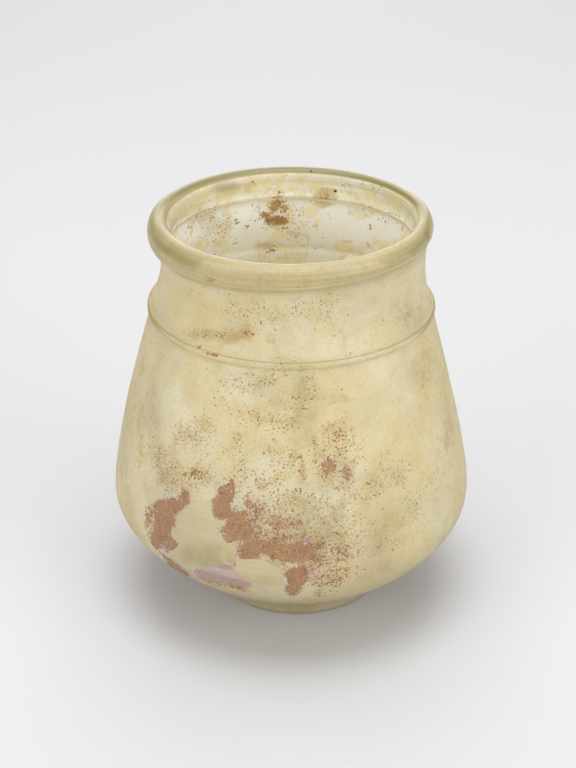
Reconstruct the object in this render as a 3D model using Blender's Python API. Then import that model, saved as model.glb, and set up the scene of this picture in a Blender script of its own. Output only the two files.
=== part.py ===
"""Free-blown glass cup: rolled rim, waisted neck, folded collar, pear-shaped body and low pad foot.

Units are metres and +Z is up. The origin is on the table, under the axis of the cup's widest ring, and
angles round the cup are counted from +X towards +Y. The whole vessel is one thin-walled piece of glass.
"""
import math

import bmesh
import bpy
from mathutils import Vector
from mathutils.geometry import interpolate_bezier

# Overall sizes
HEIGHT = 0.0969
BELLY_DIAMETER = 0.0870
BELLY_HEIGHT = 0.0271

# Rim: the lip rolled inwards, thicker and deeper on one side
RIM_DIAMETER = 0.0648
RIM_THICKNESS = 0.0049
RIM_UNEVENNESS = 0.0006
RIM_THICK_SIDE = math.radians(193)
RIM_ROUND_HEIGHT = 0.0054
RIM_SAG = 0.0024
RIM_JOIN_ANGLE = math.radians(-70)
RIM_TURN_ANGLE = math.radians(202)
LIP_DEPTH = 0.0078
LIP_PROUD = 0.0009
RIM_DIP = 0.0005
RIM_HIGH_SIDE = math.radians(20)

# Neck, drawn in to a waist
NECK_DIAMETER = 0.0606
NECK_WAIST_HEIGHT = 0.0855
NECK_FOOT_DIAMETER = 0.0648
NECK_SPREAD_ANGLE = math.radians(20)
NECK_FLARE_ANGLE = math.radians(8)
NECK_EASE = 0.0036

# Collar: a fold of the wall that stands off as a thin ring, with its crease left inside
FOLD_HEIGHT = 0.0744
FOLD_DIAMETER = 0.0669
FOLD_THICKNESS = 0.0021
CREASE_DEPTH = 0.0004
CREASE_WIDTH = 0.0014

# Body
SHOULDER_DIAMETER = 0.0657
SHOULDER_ANGLE = math.radians(15.5)
SHOULDER_REACH = 0.0108
BELLY_REACH_UP = 0.0094
BELLY_REACH_DOWN = 0.0097
LOWER_WALL_ANGLE = math.radians(27)
LOWER_WALL_REACH = 0.0062

# Foot and base
FOOT_DIAMETER = 0.0434
FOOT_HEIGHT = 0.0041
FOOT_EDGE_ROUND = 0.0009
FOOT_WAIST_DEPTH = 0.0005
REST_RING_WIDTH = 0.0036
KICK_HEIGHT = 0.0028
PONTIL_DIAMETER = 0.0120
PONTIL_PROUD = 0.0004
PONTIL_WIDTH = 0.0016

# Walls
NECK_WALL = 0.0018
BELLY_WALL = 0.0015
FOOT_WALL = 0.0024
BASE_THICKNESS = 0.0030
RING_THICKNESS = 0.0052

# Hand-made irregularity: how far each level stands off the axis along X, and how far from round it is
RIM_SHIFT = -0.0005
NECK_SHIFT = 0.0003
FOLD_SHIFT = -0.0001
UPPER_BODY_SHIFT = -0.0002
FOOT_SHIFT = 0.0016
OUT_OF_ROUND = 0.0002
ROUND_WAVES = ((2, 1.0, math.radians(34)), (3, 0.5, math.radians(-63)))

# Fineness of the faceted surface
SIDES = 56
ARC_STEP = math.radians(22)
VAULT_STEPS = 4
LOWER_BODY_STEPS = 9
UPPER_BODY_STEPS = 8
FOLD_STEPS = 6
LOWER_NECK_STEPS = 4
UPPER_NECK_STEPS = 3
INNER_NECK_STEPS = 5

GLASS_COLOR = (0.78, 0.72, 0.52, 1.0)
GLASS_ROUGHNESS = 0.35
GLASS_TRANSMISSION = 0.6


def clear_scene():
    """Removes whatever the open file holds."""
    for thing in list(bpy.data.objects):
        bpy.data.objects.remove(thing, do_unlink=True)


def glass_material():
    """Pale straw-coloured glass, dulled by burial."""
    material = bpy.data.materials.new("weathered_glass")
    material.use_nodes = True
    shader = material.node_tree.nodes["Principled BSDF"]
    shader.inputs["Base Color"].default_value = GLASS_COLOR
    shader.inputs["Roughness"].default_value = GLASS_ROUGHNESS
    shader.inputs["Metallic"].default_value = 0.0
    shader.inputs["Transmission Weight"].default_value = GLASS_TRANSMISSION
    return material


def level(height):
    """A shift's blend from 0 to 1 that eases in and out."""
    share = min(max(height, 0.0), 1.0)
    return share * share * (3 - 2 * share)


def curve(start, start_handle, end_handle, end, steps):
    """Points of a cubic curve in the section plane, each (radius, height), without its last one."""
    corners = [Vector((radius, height)) for radius, height in (start, start_handle, end_handle, end)]
    points = interpolate_bezier(*corners, steps + 1)
    return [(point.x, point.y) for point in points[:-1]]


def off(point, length, angle):
    """The point at a length and a direction, in the section plane, from another."""
    radius, height = point
    return radius + length * math.cos(angle), height + length * math.sin(angle)


def oval(centre, half_width, half_height, start, end):
    """Points of an oval's arc, from one angle to another."""
    steps = max(2, round(abs(end - start) / ARC_STEP))
    radius, height = centre
    turns = [start + (end - start) * step / steps for step in range(steps + 1)]
    return [(radius + half_width * math.cos(turn), height + half_height * math.sin(turn)) for turn in turns]


def base_section():
    """The underside, from the middle of the pushed-in base out to the foot's waist."""
    foot_radius = FOOT_DIAMETER / 2
    ring_outside = foot_radius - FOOT_EDGE_ROUND
    ring_inside = ring_outside - REST_RING_WIDTH
    scar = PONTIL_DIAMETER / 2
    scar_low = KICK_HEIGHT - PONTIL_PROUD
    edge_centre = (ring_outside, FOOT_EDGE_ROUND)
    edge = oval(edge_centre, FOOT_EDGE_ROUND, FOOT_EDGE_ROUND, math.radians(-90), 0.0)
    vault_start = (scar + PONTIL_WIDTH / 2, KICK_HEIGHT)
    flat_handle = ((vault_start[0] + ring_inside) / 2, KICK_HEIGHT)
    steep_handle = (ring_inside - KICK_HEIGHT / 2, KICK_HEIGHT / 2)
    vault = curve(vault_start, flat_handle, steep_handle, (ring_inside, 0.0), VAULT_STEPS)
    waist = (foot_radius - FOOT_WAIST_DEPTH, (FOOT_EDGE_ROUND + FOOT_HEIGHT) / 2)
    scar_ring = [(scar - PONTIL_WIDTH / 2, KICK_HEIGHT), (scar, scar_low)]
    return scar_ring + vault + [(ring_inside, 0.0)] + edge + [waist]


def body_section():
    """The outer wall, from the foot's top to the underside of the collar."""
    belly = (BELLY_DIAMETER / 2, BELLY_HEIGHT)
    start = (FOOT_DIAMETER / 2, FOOT_HEIGHT)
    end = (SHOULDER_DIAMETER / 2, FOLD_HEIGHT - FOLD_THICKNESS / 2)
    rise = off(start, LOWER_WALL_REACH, LOWER_WALL_ANGLE)
    below = (belly[0], belly[1] - BELLY_REACH_DOWN)
    above = (belly[0], belly[1] + BELLY_REACH_UP)
    shoulder = off(end, SHOULDER_REACH, SHOULDER_ANGLE - math.radians(90))
    lower = curve(start, rise, below, belly, LOWER_BODY_STEPS)
    return lower + curve(belly, above, shoulder, end, UPPER_BODY_STEPS) + [end]


def fold_section():
    """The collar's round edge, between the body's top and the neck's foot."""
    half = FOLD_THICKNESS / 2
    points = []
    for step in range(1, FOLD_STEPS):
        share = step / FOLD_STEPS
        turn = share * math.pi
        root = SHOULDER_DIAMETER / 2 * (1 - share) + NECK_FOOT_DIAMETER / 2 * share
        proud = FOLD_DIAMETER / 2 - root
        points.append((root + proud * math.sin(turn), FOLD_HEIGHT - half * math.cos(turn)))
    return points


def rim_oval(angle):
    """The rolled rim's centre, half width and half height at one angle round the cup."""
    side = math.cos(angle - RIM_THICK_SIDE)
    half_width = (RIM_THICKNESS + RIM_UNEVENNESS * side) / 2
    half_height = (RIM_ROUND_HEIGHT + RIM_SAG * ((1 + side) / 2) ** 3) / 2
    return (RIM_DIAMETER / 2 - half_width, HEIGHT - half_height), half_width, half_height


def neck_section(angle):
    """The outer wall, from the collar up to the crease under the rim."""
    centre, half_width, half_height = rim_oval(angle)
    join = oval(centre, half_width, half_height, RIM_JOIN_ANGLE, RIM_JOIN_ANGLE)[0]
    foot = (NECK_FOOT_DIAMETER / 2, FOLD_HEIGHT + FOLD_THICKNESS / 2)
    waist = (NECK_DIAMETER / 2, NECK_WAIST_HEIGHT)
    spread = off(foot, NECK_EASE, math.radians(90) + NECK_SPREAD_ANGLE)
    gather = off(join, NECK_EASE / 2, math.radians(-90) - NECK_FLARE_ANGLE)
    lower = curve(foot, spread, (waist[0], waist[1] - NECK_EASE), waist, LOWER_NECK_STEPS)
    above = (waist[0], waist[1] + NECK_EASE / 2)
    return lower + curve(waist, above, gather, join, UPPER_NECK_STEPS)


def rim_section(angle):
    """The rolled rim, from its crease outside over the top to the lip's lower edge inside."""
    centre, half_width, half_height = rim_oval(angle)
    top = math.radians(90)
    rolled = oval(centre, half_width, half_height, RIM_JOIN_ANGLE, top)
    rolled += oval(centre, half_width, half_height, top, RIM_TURN_ANGLE)[1:]
    lip_end = HEIGHT - LIP_DEPTH
    wall = outer_radius(neck_section(angle), lip_end) - NECK_WALL
    middle = ((rolled[-1][0] + wall - LIP_PROUD) / 2, (rolled[-1][1] + lip_end) / 2)
    return rolled + [middle, (wall - LIP_PROUD, lip_end + LIP_PROUD / 2), (wall - LIP_PROUD / 3, lip_end)]


def outer_radius(section, height):
    """The radius of a rising section at a height, between its points."""
    for (radius, low), (next_radius, high) in zip(section, section[1:]):
        if low <= height <= high:
            return radius + (next_radius - radius) * (height - low) / (high - low)
    return section[-1][0]


def inset(outline):
    """An outline moved into the glass by the wall's thickness, square to itself."""
    points = []
    for index, (radius, height) in enumerate(outline):
        before = outline[max(index - 1, 0)]
        after = outline[min(index + 1, len(outline) - 1)]
        along = Vector((after[0] - before[0], after[1] - before[1])).normalized()
        wall = wall_at(height)
        points.append((radius - along.y * wall, height + along.x * wall))
    return points


def wall_at(height):
    """The wall's thickness at a height: thin at the belly, thicker at the neck and above the foot."""
    if height < BELLY_HEIGHT:
        share = level((BELLY_HEIGHT - height) / (BELLY_HEIGHT - FOOT_HEIGHT))
        return BELLY_WALL + (FOOT_WALL - BELLY_WALL) * share
    share = level((height - BELLY_HEIGHT) / (FOLD_HEIGHT - BELLY_HEIGHT))
    return BELLY_WALL + (NECK_WALL - BELLY_WALL) * share


def inside_section(angle):
    """The inner wall, from under the lip down to the floor of the cup."""
    lip_end = HEIGHT - LIP_DEPTH
    crease_low = FOLD_HEIGHT - CREASE_WIDTH / 2
    crease_top = FOLD_HEIGHT + CREASE_WIDTH / 2
    neck = neck_section(angle)
    upper = []
    for step in range(1, INNER_NECK_STEPS):
        height = crease_top + (lip_end - crease_top) * step / INNER_NECK_STEPS
        upper.append((outer_radius(neck, height) - NECK_WALL, height))
    lower = [point for point in inset(body_section()) if point[1] < crease_low]
    side = (NECK_FOOT_DIAMETER + SHOULDER_DIAMETER) / 4 - NECK_WALL
    crease = [(side, crease_low), (side + CREASE_DEPTH, FOLD_HEIGHT), (side, crease_top)]
    ring_middle = FOOT_DIAMETER / 2 - FOOT_EDGE_ROUND - REST_RING_WIDTH / 2
    rise = (RING_THICKNESS + KICK_HEIGHT + BASE_THICKNESS) / 2
    floor = [(ring_middle / 2, rise), (ring_middle, RING_THICKNESS)]
    return list(reversed(floor + lower + crease + upper))


def section(angle):
    """The whole wall's section at one angle, from the middle of the underside round to the floor inside."""
    outside = base_section() + body_section() + fold_section() + neck_section(angle)
    return outside + rim_section(angle) + inside_section(angle)


def axis_shift(height):
    """How far a level stands off the axis along X."""
    stations = [
        (FOOT_HEIGHT, FOOT_SHIFT),
        (BELLY_HEIGHT, 0.0),
        ((BELLY_HEIGHT + FOLD_HEIGHT) / 2, UPPER_BODY_SHIFT),
        (FOLD_HEIGHT, FOLD_SHIFT),
        (NECK_WAIST_HEIGHT, NECK_SHIFT),
        (HEIGHT, RIM_SHIFT),
    ]
    if height <= stations[0][0]:
        return stations[0][1]
    for (low, low_shift), (high, high_shift) in zip(stations, stations[1:]):
        if height <= high:
            return low_shift + (high_shift - low_shift) * level((height - low) / (high - low))
    return stations[-1][1]


def placed(radius, height, angle):
    """A section's point set round the cup, with the maker's unevenness."""
    free = level((height - BELLY_HEIGHT) / (NECK_WAIST_HEIGHT - BELLY_HEIGHT))
    wave = sum(strength * math.cos(lobes * angle + turn) for lobes, strength, turn in ROUND_WAVES)
    uneven = radius + OUT_OF_ROUND * free * wave
    dip = RIM_DIP * level((height - FOLD_HEIGHT) / (HEIGHT - FOLD_HEIGHT))
    fall = dip * (1 - math.cos(angle - RIM_HIGH_SIDE)) / 2
    return (uneven * math.cos(angle) + axis_shift(height), uneven * math.sin(angle), height - fall)


def build_cup():
    """Sets the section round the axis and closes it at the middle of the base and of the floor."""
    mesh = bmesh.new()
    rings = []
    for side in range(SIDES):
        angle = 2 * math.pi * side / SIDES
        rings.append([mesh.verts.new(placed(*point, angle)) for point in section(angle)])
    for ring, following in zip(rings, rings[1:] + rings[:1]):
        for low in range(len(ring) - 1):
            mesh.faces.new((ring[low], following[low], following[low + 1], ring[low + 1]))
    middle = axis_shift(0.0)
    underside = mesh.verts.new((middle, 0.0, KICK_HEIGHT))
    floor = mesh.verts.new((middle, 0.0, KICK_HEIGHT + BASE_THICKNESS))
    for ring, following in zip(rings, rings[1:] + rings[:1]):
        mesh.faces.new((underside, following[0], ring[0]))
        mesh.faces.new((floor, ring[-1], following[-1]))
    bmesh.ops.recalc_face_normals(mesh, faces=mesh.faces)
    data = bpy.data.meshes.new("cup")
    mesh.to_mesh(data)
    mesh.free()
    data.shade_smooth()
    data.set_sharp_from_angle(angle=math.radians(50))
    data.materials.append(glass_material())
    cup = bpy.data.objects.new("cup", data)
    bpy.context.scene.collection.objects.link(cup)


clear_scene()
build_cup()
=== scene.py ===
"""A free-blown glass cup after long burial: its turned wall, weathering, soil and pits, in soft studio light.

Units are metres, +Z is up and the cup stands on Z = 0. Angles round the cup are counted from +X towards +Y, and
the camera stands on the -Y side. Places on the wall that were read from the photograph are pixels of its frame.
"""

import logging
import math
from dataclasses import dataclass, field
from enum import Enum
from functools import reduce

import bmesh
import bpy
import numpy as np
from mathutils import Matrix, Vector, noise
from mathutils.bvhtree import BVHTree
from mathutils.geometry import interpolate_bezier


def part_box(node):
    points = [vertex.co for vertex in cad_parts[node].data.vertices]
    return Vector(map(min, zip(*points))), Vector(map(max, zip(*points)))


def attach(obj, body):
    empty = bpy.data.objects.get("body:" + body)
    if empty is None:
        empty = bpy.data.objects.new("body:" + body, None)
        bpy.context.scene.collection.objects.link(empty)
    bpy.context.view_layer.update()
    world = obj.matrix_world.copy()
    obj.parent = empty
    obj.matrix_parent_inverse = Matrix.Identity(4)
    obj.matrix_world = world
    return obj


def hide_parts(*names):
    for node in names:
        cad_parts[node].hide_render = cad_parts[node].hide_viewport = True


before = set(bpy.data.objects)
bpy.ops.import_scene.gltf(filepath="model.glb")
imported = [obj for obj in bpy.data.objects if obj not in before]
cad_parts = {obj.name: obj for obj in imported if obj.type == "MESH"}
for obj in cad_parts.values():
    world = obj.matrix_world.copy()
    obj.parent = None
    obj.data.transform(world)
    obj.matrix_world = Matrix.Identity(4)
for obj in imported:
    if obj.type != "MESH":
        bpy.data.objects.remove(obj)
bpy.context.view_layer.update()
CUP_NODE = "cup"
BODY = "root"

LOG = logging.getLogger("cup")

Pixel = tuple[float, float]
Point = tuple[float, float]
Pulled = tuple[float, float, float, float]
Color = tuple[float, float, float, float]
Place = tuple[float, float, float]
Reach = tuple[float, float]
Swings = tuple[tuple["Grain", float], ...]
Socket = bpy.types.NodeSocket
Value = Socket | float | int | bool | str | tuple | bpy.types.Material


class Skin(Enum):
    """Which face of the wall a thing lies on."""

    OUTSIDE = 1
    INSIDE = 0


class Layer(Enum):
    """What burial has left on the glass, and painted shade and light. EDGE is painted shade in creases and on
    edge-on glass, OLIVE is also painted shade down the sides and over the far rim, and MILK also paints light
    in one band above the foot. Each has one number per point of the wall, from 0 to 1.
    """

    RUST = "rust"
    FILM = "film"
    BARE = "bare"
    MILK = "milk"
    TAN = "tan"
    OLIVE = "olive"
    SOIL = "soil"
    PITS = "pits"
    EDGE = "edge"
    MOTTLE = "mottle"


def tint(red: float, green: float, blue: float) -> Color:
    """A colour as the eye names it, from 0 to 255, as linear light.

    Args:
        red: How red it is.
        green: How green it is.
        blue: How blue it is.

    Returns:
        The colour, with full cover.
    """
    shares = np.array((red, green, blue)) / 255
    linear = np.where(shares <= 0.04045, shares / 12.92, ((shares + 0.055) / 1.055) ** 2.4)
    return (*map(float, linear), 1.0)


def eased(value: np.ndarray, start: float, end: float) -> np.ndarray:
    """A smooth step from 0 at start to 1 at end, whichever of them is higher."""
    share = np.clip((value - start) / (end - start), 0.0, 1.0)
    return share * share * (3 - 2 * share)


class Graph:
    """Adds nodes to a tree and joins them, so that a rule reads as a formula."""

    def __init__(self, tree: bpy.types.NodeTree) -> None:
        """Keeps the tree that the nodes go into."""
        self.tree = tree

    def node(self, kind: str, options: dict[str, object] | None = None,
             inputs: dict[str | int, Value] | None = None) -> bpy.types.Node:
        """Adds one node.

        Args:
            kind: The kind of node.
            options: The node's own settings.
            inputs: What goes into each socket, a plain value or another node's socket.

        Returns:
            The new node.
        """
        made = self.tree.nodes.new(kind)
        for name, value in (options or {}).items():
            setattr(made, name, value)
        self.feed(made, inputs or {})
        return made

    def feed(self, node: bpy.types.Node, inputs: dict[str | int, Value]) -> None:
        """Gives a node what goes into it.

        Args:
            node: The node.
            inputs: What goes into each socket, a plain value or another node's socket.
        """
        for key, value in inputs.items():
            if isinstance(value, Socket):
                self.tree.links.new(value, node.inputs[key])
            else:
                node.inputs[key].default_value = value

    def math(self, operation: str, first: Value, second: Value = 0.0, third: Value = 0.0) -> Socket:
        """One step of arithmetic on numbers."""
        inputs = {0: first, 1: second, 2: third}
        return self.node("ShaderNodeMath", {"operation": operation}, inputs).outputs[0]

    def total(self, *terms: Value) -> Socket:
        """The sum of all the terms."""
        return reduce(lambda one, other: self.math("ADD", one, other), terms)

    def product(self, *factors: Value) -> Socket:
        """All the factors multiplied."""
        return reduce(lambda one, other: self.math("MULTIPLY", one, other), factors)

    def larger(self, *values: Value) -> Socket:
        """The largest of the values."""
        return reduce(lambda one, other: self.math("MAXIMUM", one, other), values)

    def rest(self, share: Value) -> Socket:
        """What a share leaves of the whole."""
        return self.math("SUBTRACT", 1.0, share)

    def ramp(self, value: Value, start: float, end: float) -> Socket:
        """A straight line from start at 0 to end at 1."""
        return self.math("MULTIPLY_ADD", value, end - start, start)

    def swing(self, grain: Value, width: float) -> Socket:
        """A noise of 0 to 1, as a number that swings that width round 0."""
        return self.math("MULTIPLY_ADD", grain, width, -width / 2)

    def step(self, value: Value, start: Value, end: Value, low: Value = 0.0, high: Value = 1.0) -> Socket:
        """A smooth step from low to high as the value goes from start to end."""
        inputs = {0: value, 1: start, 2: end, 3: low, 4: high}
        return self.node("ShaderNodeMapRange", {"interpolation_type": "SMOOTHSTEP"}, inputs).outputs[0]

    def blend(self, share: Value, first: Value, second: Value) -> Socket:
        """A colour between two."""
        return self.node("ShaderNodeMix", {"data_type": "RGBA"}, {0: share, 6: first, 7: second}).outputs[2]

    def between(self, share: Value, first: Value, second: Value) -> Socket:
        """A number between two."""
        return self.node("ShaderNodeMix", {"data_type": "FLOAT"}, {0: share, 2: first, 3: second}).outputs[0]

    def vector(self, x: Value, y: Value, z: Value) -> Socket:
        """A vector from three numbers."""
        return self.node("ShaderNodeCombineXYZ", {}, {0: x, 1: y, 2: z}).outputs[0]

    def parts(self, vector: Value) -> bpy.types.NodeOutputs:
        """The three numbers of a vector."""
        return self.node("ShaderNodeSeparateXYZ", {}, {0: vector}).outputs

    def cloud(self, place: Value, size: float, detail: float = 2.0, rough: float = 0.5) -> Socket:
        """Soft noise from 0 to 1, whose lumps are as wide as the size in metres."""
        inputs = {"Vector": place, "Scale": 1 / size, "Detail": detail, "Roughness": rough}
        return self.node("ShaderNodeTexNoise", {}, inputs).outputs[0]

    def carried(self, name: str) -> Socket:
        """A number that the mesh carries into its material."""
        return self.node("ShaderNodeAttribute", {"attribute_name": name}).outputs["Fac"]

    def stored(self, name: str) -> Socket:
        """A number that the mesh carries into a geometry tree."""
        return self.node("GeometryNodeInputNamedAttribute", {"data_type": "FLOAT"}, {"Name": name}).outputs[0]

    def shaped(self, kind: str, geometry: Socket, options: dict[str, object] | None = None,
               **inputs: Value) -> Socket:
        """What a node makes of a geometry."""
        return self.node(kind, options, {"Geometry": geometry, **inputs}).outputs[0]

    def finish(self, geometry: Socket, material: bpy.types.Material) -> None:
        """Ends a geometry tree, with its instances made real and its material set.

        Args:
            geometry: What the tree has made.
            material: The finish.
        """
        solid = self.shaped("GeometryNodeRealizeInstances", geometry)
        solid = self.shaped("GeometryNodeSetMaterial", solid, Material=material)
        self.node("NodeGroupOutput", {}, {"Geometry": solid})


@dataclass(frozen=True)
class Viewpoint:
    """The camera that the photograph was taken with, worked out from the cup's outline in it."""

    elevation: float = math.radians(28.1)
    distance: float = 0.348
    target: Place = (-0.0008, 0.0, 0.0524)
    focal_pixels: float = 1448.0
    image_width: float = 576.0
    image_height: float = 768.0
    sensor: float = 36.0

    @property
    def back(self) -> Vector:
        """The direction from the cup towards the camera."""
        return Vector((0.0, -math.cos(self.elevation), math.sin(self.elevation)))

    @property
    def place(self) -> Vector:
        """Where the camera stands."""
        return Vector(self.target) + self.back * self.distance

    @property
    def upward(self) -> Vector:
        """The direction that is up in the picture."""
        return Vector((0.0, math.sin(self.elevation), math.cos(self.elevation)))

    def pixels(self, points: np.ndarray) -> np.ndarray:
        """The pixels at which points appear, one row each.

        Args:
            points: Points in the scene, one row each.

        Returns:
            Each pixel, across and down.
        """
        offsets = points - np.array(self.place)
        depth = offsets @ -np.array(self.back)
        across = offsets[:, 0] / depth * self.focal_pixels + self.image_width / 2
        down = self.image_height / 2 - offsets @ np.array(self.upward) / depth * self.focal_pixels
        return np.stack((across, down), axis=1)

    def ray(self, pixel: Pixel) -> Vector:
        """The direction in which a pixel looks.

        Args:
            pixel: A pixel of the photograph.

        Returns:
            The direction, of length 1.
        """
        across = (pixel[0] - self.image_width / 2) / self.focal_pixels
        down = (pixel[1] - self.image_height / 2) / self.focal_pixels
        return (Vector((across, 0.0, 0.0)) - self.upward * down - self.back).normalized()

    def build(self) -> bpy.types.Object:
        """Makes the camera and the scene look through it.

        Returns:
            The camera.
        """
        data = bpy.data.cameras.new("camera")
        data.sensor_width = self.sensor
        data.lens = self.focal_pixels / self.image_height * self.sensor
        data.clip_start = self.distance / 100
        data.clip_end = self.distance * 100
        camera = bpy.data.objects.new("camera", data)
        camera.rotation_mode = "QUATERNION"
        camera.location = self.place
        camera.rotation_quaternion = (-self.back).to_track_quat("-Z", "Y")
        bpy.context.scene.collection.objects.link(camera)
        bpy.context.scene.camera = camera
        return camera


@dataclass(frozen=True)
class Lamp:
    """One square lamp that faces the cup."""

    name: str
    place: Place
    width: float
    power: float

    def build(self) -> None:
        """Hangs the lamp."""
        data = bpy.data.lights.new(self.name, "AREA")
        data.size = self.width
        data.energy = self.power
        light = bpy.data.objects.new(self.name, data)
        light.location = self.place
        light.rotation_mode = "QUATERNION"
        light.rotation_quaternion = (-Vector(self.place)).to_track_quat("-Z", "Y")
        bpy.context.scene.collection.objects.link(light)


@dataclass(frozen=True)
class Studio:
    """A plain pale floor between pale walls, with broad lamps overhead, behind, at each side and in front."""

    floor_radius: float = 3.0
    floor_color: Color = tint(191, 191, 192)
    floor_roughness: float = 0.95
    floor_gloss: float = 0.1
    wall_color: Color = tint(253, 254, 255)
    wall_light: float = 0.42
    lamps: tuple[Lamp, ...] = (
        Lamp("overhead_lamp", (0.0, 0.05, 0.95), 0.7, 8.2),
        Lamp("front_lamp", (-0.1, -1.3, 0.4), 1.1, 2.0),
        Lamp("back_lamp", (0.0, 1.1, 0.45), 0.9, 5.4),
        Lamp("right_lamp", (0.85, -0.6, 0.4), 0.8, 7.3),
        Lamp("left_lamp", (-0.85, -0.6, 0.4), 0.8, 6.424),
    )

    def build(self) -> None:
        """Makes the floor, the surroundings' light and the lamps."""
        bpy.context.scene.view_settings.view_transform = "Standard"
        world = bpy.data.worlds.new("studio_walls")
        world.use_nodes = True
        surroundings = world.node_tree.nodes["Background"]
        surroundings.inputs["Color"].default_value = self.wall_color
        surroundings.inputs["Strength"].default_value = self.wall_light
        bpy.context.scene.world = world
        for lamp in self.lamps:
            lamp.build()
        bpy.ops.mesh.primitive_circle_add(vertices=96, radius=self.floor_radius, fill_type="NGON")
        floor = bpy.context.object
        floor.name = "floor"
        paper, shader = new_material("white_paper")
        Graph(paper.node_tree).feed(shader, {
            "Base Color": self.floor_color, "Roughness": self.floor_roughness,
            "Specular IOR Level": self.floor_gloss})
        floor.data.materials.append(paper)


@dataclass
class Section:
    """The wall's section: a line from the middle of the underside, up the outside and down the inside.

    Each point has a radius and a height, and what it does where the rim is thicker or deeper: girth is how far
    it moves for each metre that the rim's half width gains, and drop the same for its half height. Where the
    glass looks thick is given in half rims below the top, and in shares of the foot's height.
    """

    height: float
    belly_radius: float
    belly_height: float = 0.0271
    rim_radius: float = 0.0324
    rim_half_width: float = 0.00245
    rim_half_height: float = 0.0027
    rim_join: float = math.radians(-70)
    rim_turn: float = math.radians(202)
    lip_depth: float = 0.0078
    lip_proud: float = 0.0009
    neck_radius: float = 0.0303
    neck_height: float = 0.0855
    neck_foot_radius: float = 0.0324
    neck_spread: float = math.radians(20)
    neck_flare: float = math.radians(8)
    neck_ease: float = 0.0036
    fold_height: float = 0.0744
    fold_radius: float = 0.03345
    fold_thickness: float = 0.0021
    crease_depth: float = 0.00016
    crease_width: float = 0.0007
    crease_rise: float = 0.0010
    line_width: float = 0.0002
    collar_line: float = 0.74
    shoulder_radius: float = 0.03285
    shoulder_angle: float = math.radians(15.5)
    shoulder_reach: float = 0.0108
    reach_up: float = 0.0094
    reach_down: float = 0.0097
    lower_angle: float = math.radians(27)
    lower_reach: float = 0.0062
    foot_radius: float = 0.0217
    foot_height: float = 0.0041
    foot_round: float = 0.0009
    foot_waist: float = 0.0005
    ring_width: float = 0.0036
    kick: float = 0.0028
    scar_radius: float = 0.0060
    scar_proud: float = 0.0004
    scar_width: float = 0.0016
    neck_wall: float = 0.0018
    belly_wall: float = 0.0015
    foot_wall: float = 0.0024
    base_thickness: float = 0.0030
    ring_thickness: float = 0.0052
    step: float = 0.00075
    rim_depths: Reach = (2.6, 1.6)
    inner_rim: float = 0.35
    foot_heights: Reach = (2.2, 0.8)
    foot_weight: float = 0.9
    rows: list[tuple[float, float, float, float, float]] = field(default_factory=list)

    def curve(self, *corners: Point) -> list[Point]:
        """Points of a cubic curve, without its last one, about a step apart.

        Args:
            *corners: The start, the two handles and the end.

        Returns:
            The points.
        """
        length = sum(math.dist(a, b) for a, b in zip(corners, corners[1:]))
        points = interpolate_bezier(*map(Vector, corners), max(3, round(length / self.step)) + 1)
        return [(point.x, point.y) for point in points[:-1]]

    def base(self) -> list[Point]:
        """The underside, from the middle of the pushed-in base out to the foot's waist.

        Returns:
            The points.
        """
        outside = self.foot_radius - self.foot_round
        inside = outside - self.ring_width
        middle = [(self.scar_radius * share / 7, self.kick) for share in range(7)]
        scar = []
        for share in range(9):
            swell = self.scar_proud * math.sin(math.pi * share / 8)
            scar.append((self.scar_radius + self.scar_width * (share / 8 - 0.5), self.kick - swell))
        start = (self.scar_radius + self.scar_width / 2 + self.step, self.kick)
        vault = self.curve(start, ((start[0] + inside) / 2, self.kick), (inside - self.kick / 2, self.kick / 2),
                           (inside, 0.0))
        ring = [(inside + self.ring_width * share / 5, 0.0) for share in range(5)]
        edge = []
        for share in range(7):
            turn = math.radians(-90 + 15 * share)
            edge.append((outside + self.foot_round * math.cos(turn), self.foot_round * (1 + math.sin(turn))))
        waist = []
        for share in range(1, 5):
            rise = self.foot_round + (self.foot_height - self.foot_round) * share / 5
            waist.append((self.foot_radius - self.foot_waist * math.sin(math.pi * share / 5), rise))
        return middle[:-1] + scar + vault + ring + edge + waist

    def body(self) -> list[Point]:
        """The outer wall, from the foot's top to the underside of the collar.

        Returns:
            The points.
        """
        start = (self.foot_radius, self.foot_height)
        belly = (self.belly_radius, self.belly_height)
        end = (self.shoulder_radius, self.fold_height - self.fold_thickness / 2)
        rise = (start[0] + self.lower_reach * math.cos(self.lower_angle),
                start[1] + self.lower_reach * math.sin(self.lower_angle))
        shoulder = (end[0] + self.shoulder_reach * math.sin(self.shoulder_angle),
                    end[1] - self.shoulder_reach * math.cos(self.shoulder_angle))
        lower = self.curve(start, rise, (belly[0], belly[1] - self.reach_down), belly)
        return lower + self.curve(belly, (belly[0], belly[1] + self.reach_up), shoulder, end) + [end]

    def fold(self) -> list[Point]:
        """The collar's round edge.

        Returns:
            The points, from below to above.
        """
        points = []
        for share in np.linspace(0, 1, 25)[1:-1]:
            root = self.shoulder_radius * (1 - share) + self.neck_foot_radius * share
            out = root + (self.fold_radius - root) * math.sin(share * math.pi)
            points.append((out, self.fold_height - self.fold_thickness / 2 * math.cos(share * math.pi)))
        return points

    def rolled(self, turn: float) -> Pulled:
        """A point of the rolled rim: its radius and height, its girth and its drop.

        Args:
            turn: The angle round the bead, from its outer side upwards.

        Returns:
            The point.
        """
        girth, drop = math.cos(turn) - 1, math.sin(turn) - 1
        return (self.rim_radius + girth * self.rim_half_width, self.height + drop * self.rim_half_height,
                girth, drop)

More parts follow.
